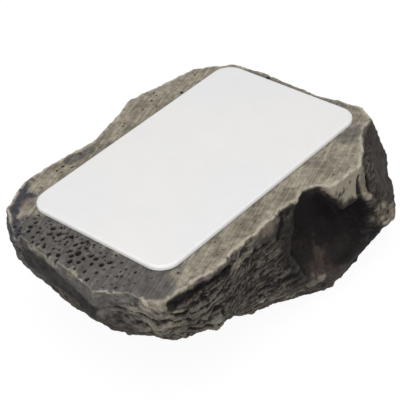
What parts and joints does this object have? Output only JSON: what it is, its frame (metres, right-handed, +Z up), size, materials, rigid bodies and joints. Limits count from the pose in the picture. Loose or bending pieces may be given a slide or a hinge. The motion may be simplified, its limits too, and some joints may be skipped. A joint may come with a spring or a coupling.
{
  "type": "key hider rock",
  "caption": "Hollow imitation stone for hiding a spare key, with a tray in its flat underside closed by a swivelling rectangular cover.",
  "frame": {"origin": "on the floor, under the middle of the whole rock as it lies on its dome", "axes": "+Z up, out of the flat underside and its cover; +X along the cover towards its pivot end; +Y across the cover"},
  "size_m": [0.0812, 0.0622, 0.0302],
  "materials": {
    "cast_stone": "cast resin painted as weathered stone",
    "tray_plastic": "moulded, plain",
    "cover_plastic": "moulded, finely textured white",
    "glue": "cured epoxy",
    "spring_steel": "bright",
    "screw_steel": "zinc plated"
  },
  "bodies": {
    "rock": {"rock_casting": "cast_stone", "key_tray": "tray_plastic", "floor_glue_bead": "glue", "rim_glue_bead": "glue"},
    "cover": {"swivel_cover": "cover_plastic", "spring_washer": "spring_steel", "pivot_screw": "screw_steel"}
  },
  "joints": [
    {"name": "cover_swing", "type": "hinge", "parent": "rock", "child": "cover", "pos_m": [0.02613, 0.00101, 0.02715], "axis": [0, 0, 1], "continuous": true}
  ]
}
